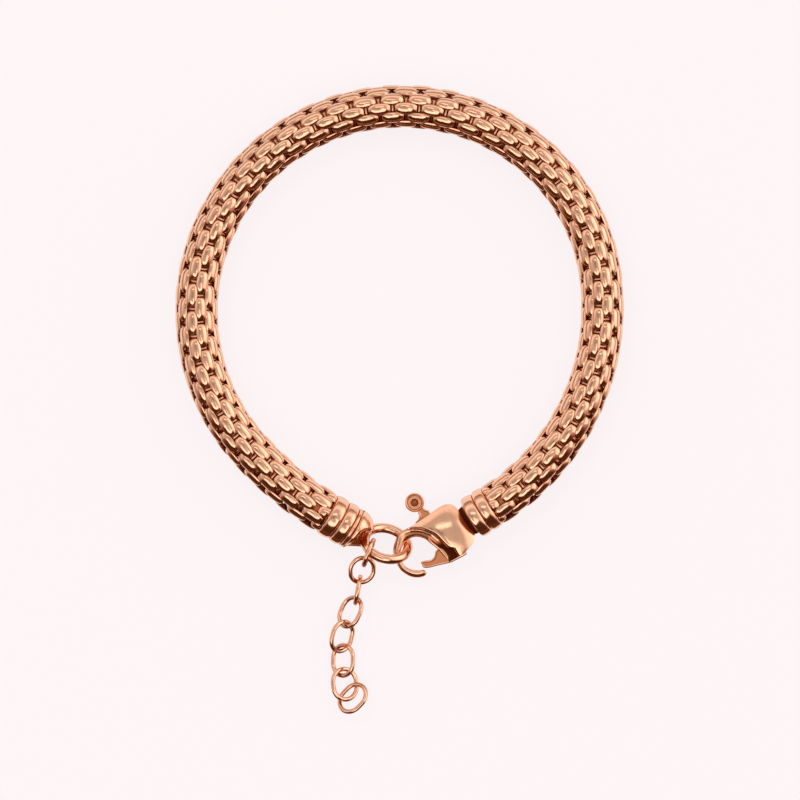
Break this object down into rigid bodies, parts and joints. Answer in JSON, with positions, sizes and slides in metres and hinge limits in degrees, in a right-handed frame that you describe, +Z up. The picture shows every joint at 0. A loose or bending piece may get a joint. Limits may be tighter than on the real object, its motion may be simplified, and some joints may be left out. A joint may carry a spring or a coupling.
{
  "type": "chain bracelet",
  "caption": "Round popcorn-mesh chain bracelet lying closed, with ribbed end caps, a jump ring, a lobster clasp with a sprung lever and a short extension chain.",
  "frame": {"origin": "middle of the wrist opening, on the surface that the bracelet lies on", "axes": "+Z up from that surface, +Y across the loop away from the clasp, along the longest extent, +X towards the right cap's side"},
  "size_m": [0.0673, 0.0943, 0.0066],
  "materials": {
    "chain_metal": "polished rose gold plating",
    "cap_metal": "polished rose gold plating",
    "ring_metal": "polished rose gold plating",
    "clasp_metal": "polished rose gold plating",
    "lever_metal": "polished rose gold plating",
    "pin_metal": "polished rose gold plating",
    "link_metal": "polished rose gold plating"
  },
  "bodies": {
    "bracelet": {"chain": "chain_metal", "end_cap_left": "cap_metal", "end_cap_right": "cap_metal", "jump_ring": "ring_metal", "clasp_body": "clasp_metal", "clasp_pin": "pin_metal", "extension_link_1": "link_metal", "extension_link_2": "link_metal", "extension_link_3": "link_metal", "extension_link_4": "link_metal", "extension_link_5": "link_metal", "extension_link_6": "link_metal", "extension_link_7": "link_metal", "extension_link_8": "link_metal"},
    "lever": {"clasp_lever": "lever_metal"}
  },
  "joints": [
    {"name": "lever_pull", "type": "hinge", "parent": "bracelet", "child": "lever", "pos_m": [0.00718, -0.03445, 0.0032], "axis": [0, 0, -1], "range_deg": [0, 18], "stiffness_Nm_per_rad": 0.004, "springref_deg": -17.19}
  ]
}
